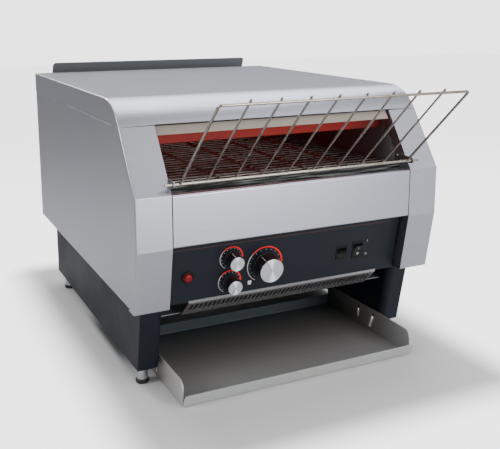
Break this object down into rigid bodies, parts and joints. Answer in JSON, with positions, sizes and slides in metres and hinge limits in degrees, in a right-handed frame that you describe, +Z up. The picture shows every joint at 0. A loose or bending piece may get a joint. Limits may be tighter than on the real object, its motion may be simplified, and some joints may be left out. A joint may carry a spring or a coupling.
{
  "type": "conveyor toaster",
  "caption": "Counter-top conveyor toaster: rolled stainless casing, wire feed rack, belt between upper and lower heaters, dark control strip, slotted grille, toast pan, short feet.",
  "frame": {"origin": "centre of the footprint of the whole object, on the counter", "axes": "+X to the right seen from the front, +Y from front to back, +Z up"},
  "size_m": [0.521, 0.8024, 0.4581],
  "materials": {
    "brushed_casing": "brushed stainless sheet, satin",
    "dark_base": "dark grey powder coat",
    "panel_enamel": "smooth dark blue-grey coat",
    "dark_steel": "dark grey coat",
    "perforated_steel": "slotted sheet, satin",
    "guard_steel": "smooth dark enamel, glossy",
    "trim_steel": "warm grey heat-stained sheet",
    "reflector_steel": "bright heat-tinted sheet",
    "galvanised_frame": "galvanised sheet",
    "chute_steel": "satin sheet",
    "pan_steel": "satin stainless sheet",
    "rack_wire": "plated wire",
    "bracket_steel": "stainless strip",
    "belt_wire": "heat-tinted stainless wire",
    "shaft_steel": "ground steel",
    "wheel_steel": "stamped steel",
    "bearing_bronze": "sintered bronze",
    "element_sheath": "quartz tube glowing red",
    "mineral_wool": "pressed mineral wool board",
    "foot_metal": "plated steel",
    "foot_rubber": "black rubber",
    "knob_black": "black moulded",
    "knob_aluminium": "spun-brushed disc",
    "control_metal": "plated",
    "button_red": "translucent dark red",
    "bezel_black": "black",
    "switch_black": "black",
    "rocker_green": "green",
    "rocker_black": "black",
    "gland_plastic": "black polyamide",
    "fan_plastic": "black moulded",
    "rotor_plastic": "black moulded",
    "gearbox_casting": "die-cast zinc, bare",
    "motor_steel": "black steel can",
    "contactor_plastic": "grey moulded",
    "terminal_plastic": "cream moulded",
    "board_laminate": "green board"
  },
  "bodies": {
    "toaster": {"base_rear": "brushed_casing", "belt_nose_guard": "guard_steel", "compartment_floor": "galvanised_frame", "control_board": "board_laminate", "control_panel": "panel_enamel", "conveyor_belt": "belt_wire", "cord_gland": "gland_plastic", "drive_gearbox": "gearbox_casting", "drive_motor": "motor_steel", "fan_frame": "fan_plastic", "foot_barrels": "foot_metal", "foot_tips": "foot_rubber", "front_panel": "brushed_casing", "intake_grille": "perforated_steel", "left_base_side": "dark_base", "left_frame_wall": "galvanised_frame", "left_rack_bracket": "bracket_steel", "left_side_panel": "brushed_casing", "lower_heating_elements": "element_sheath", "lower_reflector": "reflector_steel", "mouth_trim": "trim_steel", "oven_ceiling": "galvanised_frame", "oven_floor": "galvanised_frame", "potentiometers": "control_metal", "power_contactor": "contactor_plastic", "power_switch_housing": "switch_black", "rear_chute": "chute_steel", "rear_deflector": "dark_steel", "rear_panel": "brushed_casing", "reset_button_bezel": "bezel_black", "right_base_side": "dark_base", "right_frame_wall": "galvanised_frame", "right_rack_bracket": "bracket_steel", "right_side_panel": "brushed_casing", "shaft_bearings": "bearing_bronze", "standby_switch_housing": "switch_black", "terminal_block": "terminal_plastic", "top_cover": "brushed_casing", "top_insulation": "mineral_wool", "upper_heating_elements": "element_sheath", "upper_reflector": "reflector_steel"},
    "feed_rack": {"feed_rack": "rack_wire"},
    "toast_pan": {"toast_pan": "pan_steel"},
    "speed_knob": {"speed_knob": "knob_black", "speed_knob_cap": "knob_aluminium", "speed_spindle": "shaft_steel"},
    "top_heat_knob": {"top_heat_knob": "knob_black", "top_heat_knob_cap": "knob_aluminium", "top_heat_spindle": "shaft_steel"},
    "bottom_heat_knob": {"bottom_heat_knob": "knob_black", "bottom_heat_knob_cap": "knob_aluminium", "bottom_heat_spindle": "shaft_steel"},
    "standby_rocker": {"standby_rocker": "rocker_green"},
    "power_rocker": {"power_rocker": "rocker_black"},
    "reset_button": {"reset_button": "button_red"},
    "rear_drive_shaft": {"rear_shaft": "shaft_steel", "rear_belt_wheels": "wheel_steel"},
    "front_idler_shaft": {"front_shaft": "shaft_steel", "front_belt_wheels": "wheel_steel"},
    "fan_rotor": {"fan_rotor": "rotor_plastic"}
  },
  "joints": [
    {"name": "feed_rack_fold", "type": "hinge", "parent": "toaster", "child": "feed_rack", "pos_m": [0, -0.26414, 0.3275], "axis": [-1, 0, 0], "range_deg": [0, 70]},
    {"name": "toast_pan_slide", "type": "slide", "parent": "toaster", "child": "toast_pan", "axis": [0, -1, 0], "range_m": [0, 0.18]},
    {"name": "speed_knob_turn", "type": "hinge", "parent": "toaster", "child": "speed_knob", "pos_m": [-0.044, -0.23007, 0.17953], "axis": [0, 0.983, 0.1834], "range_deg": [-105, 120]},
    {"name": "top_heat_knob_turn", "type": "hinge", "parent": "toaster", "child": "top_heat_knob", "pos_m": [-0.1025, -0.23361, 0.19851], "axis": [0, 0.983, 0.1834], "range_deg": [-120, 105]},
    {"name": "bottom_heat_knob_turn", "type": "hinge", "parent": "toaster", "child": "bottom_heat_knob", "pos_m": [-0.1025, -0.22624, 0.15899], "axis": [0, 0.983, 0.1834], "range_deg": [0, 225]},
    {"name": "standby_rocker_tilt", "type": "hinge", "parent": "toaster", "child": "standby_rocker", "pos_m": [0.097, -0.22679, 0.17831], "axis": [-1, 0, 0], "range_deg": [0, 20]},
    {"name": "power_rocker_tilt", "type": "hinge", "parent": "toaster", "child": "power_rocker", "pos_m": [0.1278, -0.2269, 0.1789], "axis": [-1, 0, 0], "range_deg": [0, 20]},
    {"name": "reset_button_press", "type": "slide", "parent": "toaster", "child": "reset_button", "axis": [0, 0.983, 0.1834], "range_m": [0, 0.0025], "stiffness_N_per_m": 300, "springref_m": -0.002},
    {"name": "rear_shaft_turn", "type": "hinge", "parent": "toaster", "child": "rear_drive_shaft", "pos_m": [0, 0.26946, 0.298], "axis": [1, 0, 0], "continuous": true},
    {"name": "front_shaft_turn", "type": "hinge", "parent": "toaster", "child": "front_idler_shaft", "pos_m": [0, -0.20854, 0.298], "axis": [1, 0, 0], "continuous": true},
    {"name": "fan_turn", "type": "hinge", "parent": "toaster", "child": "fan_rotor", "pos_m": [0.06, -0.14004, 0.2045], "axis": [0, 1, 0], "continuous": true}
  ],
  "couplings": [
    {"joint": "front_shaft_turn", "follows": "rear_shaft_turn", "ratio": 1}
  ]
}
